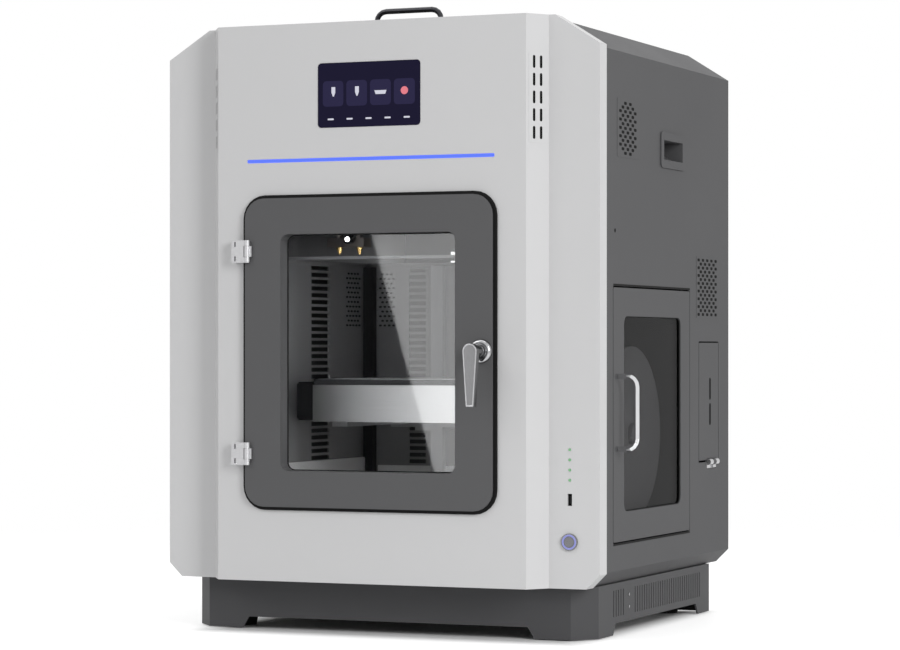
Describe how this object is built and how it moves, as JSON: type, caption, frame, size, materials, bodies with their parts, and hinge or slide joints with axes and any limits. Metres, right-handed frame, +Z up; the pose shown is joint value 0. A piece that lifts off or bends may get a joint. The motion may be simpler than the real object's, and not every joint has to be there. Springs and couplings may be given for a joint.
{
  "type": "enclosed filament printer",
  "caption": "Enclosed desktop filament printer: windowed front door with lever, touch screen, side filament bay, lifting lid, plinth, moving bed, gantry and print head.",
  "frame": {"origin": "middle of the footprint on the surface it stands on", "axes": "+Z up, front face towards -Y, filament bay on +X"},
  "size_m": [0.5213, 0.5124, 0.6743],
  "materials": {
    "light_paint": "satin light grey paint",
    "dark_paint": "satin dark grey paint",
    "rubber": "matte",
    "steel": "polished",
    "brushed": "brushed",
    "clear_glass": "clear",
    "smoked": "smoked",
    "screen": "gloss",
    "blue_light": "diffusing, lit",
    "green_lens": "lens",
    "black_plastic": "matte",
    "liner": "matte",
    "brass": "machined",
    "filament": "satin"
  },
  "bodies": {
    "cabinet": {"base_plinth": "dark_paint", "button_bezel": "steel", "chamber_floor": "liner", "chamber_liner": "liner", "door_gasket": "rubber", "flap_hinge": "steel", "floor_pan": "dark_paint", "front_fascia": "light_paint", "front_left_foot": "rubber", "front_right_foot": "rubber", "gantry_deck": "liner", "indicator_lens_bar": "green_lens", "left_grip_cup": "dark_paint", "left_side_panel": "dark_paint", "lid_hinge_rod": "steel", "light_strip": "blue_light", "lower_hinge_plate": "steel", "mains_inlet": "black_plastic", "power_supply": "brushed", "rear_left_foot": "rubber", "rear_panel": "dark_paint", "rear_right_foot": "rubber", "right_grip_cup": "dark_paint", "right_side_panel": "dark_paint", "side_hinge_rod": "steel", "spool_bay": "liner", "spool_shaft": "brushed", "touch_screen": "screen", "upper_hinge_plate": "steel", "y_rail_left": "brushed", "y_rail_right": "brushed", "z_motor": "black_plastic", "z_rail_left": "brushed", "z_rail_right": "brushed"},
    "front_door": {"door_panel": "dark_paint", "door_glass": "clear_glass", "upper_hinge_knuckle": "steel", "lower_hinge_knuckle": "steel", "lever_rosette": "steel"},
    "lever": {"door_lever": "steel", "latch_cam": "brushed"},
    "side_door": {"side_door_panel": "dark_paint", "side_window": "smoked", "side_handle": "steel"},
    "lid": {"top_lid": "dark_paint", "lid_handle": "steel"},
    "power_button": {"power_button": "steel"},
    "filter_flap": {"filter_flap": "dark_paint"},
    "bed": {"bed_carriage": "brushed", "heated_bed": "brushed", "bed_front_cover": "brushed"},
    "z_screw": {"z_screw": "steel"},
    "gantry": {"x_beam": "brushed", "x_motor": "black_plastic"},
    "head": {"print_head": "black_plastic", "hot_end": "brushed", "left_nozzle": "brass", "right_nozzle": "brass"},
    "spool": {"filament_spool": "black_plastic", "wound_filament": "filament"}
  },
  "joints": [
    {"name": "front_door_hinge", "type": "hinge", "parent": "cabinet", "child": "front_door", "pos_m": [-0.14915, -0.22965, 0.3], "axis": [0, 0, -1], "range_deg": [0, 110]},
    {"name": "door_lever_turn", "type": "hinge", "parent": "front_door", "child": "lever", "pos_m": [0.11935, -0.22615, 0.3015], "axis": [0, 1, 0], "range_deg": [0, 90]},
    {"name": "side_door_hinge", "type": "hinge", "parent": "cabinet", "child": "side_door", "pos_m": [0.22835, 0.09485, 0.23475], "axis": [0, 0, 1], "range_deg": [0, 105]},
    {"name": "lid_hinge", "type": "hinge", "parent": "cabinet", "child": "lid", "pos_m": [-0.01065, 0.24985, 0.651], "axis": [-1, 0, 0], "range_deg": [0, 95]},
    {"name": "power_button_press", "type": "slide", "parent": "cabinet", "child": "power_button", "axis": [0, 1, 0], "range_m": [0, 0.002], "stiffness_N_per_m": 400},
    {"name": "filter_flap_hinge", "type": "hinge", "parent": "cabinet", "child": "filter_flap", "pos_m": [0.23555, 0.18935, 0.175], "axis": [0, 1, 0], "range_deg": [0, 95]},
    {"name": "bed_lift", "type": "slide", "parent": "cabinet", "child": "bed", "axis": [0, 0, 1], "range_m": [-0.04, 0.134]},
    {"name": "z_screw_turn", "type": "hinge", "parent": "cabinet", "child": "z_screw", "pos_m": [-0.01065, 0.06385, 0.152], "axis": [0, 0, 1], "range_deg": [-1810, 6040]},
    {"name": "gantry_travel", "type": "slide", "parent": "cabinet", "child": "gantry", "axis": [0, 1, 0], "range_m": [-0.03, 0.13]},
    {"name": "head_travel", "type": "slide", "parent": "gantry", "child": "head", "axis": [1, 0, 0], "range_m": [-0.01, 0.16]},
    {"name": "spool_spin", "type": "hinge", "parent": "cabinet", "child": "spool", "pos_m": [0.20935, -0.01615, 0.212], "axis": [1, 0, 0], "continuous": true}
  ],
  "couplings": [
    {"joint": "z_screw_turn", "follows": "bed_lift", "rad_per_m": 785.4}
  ]
}
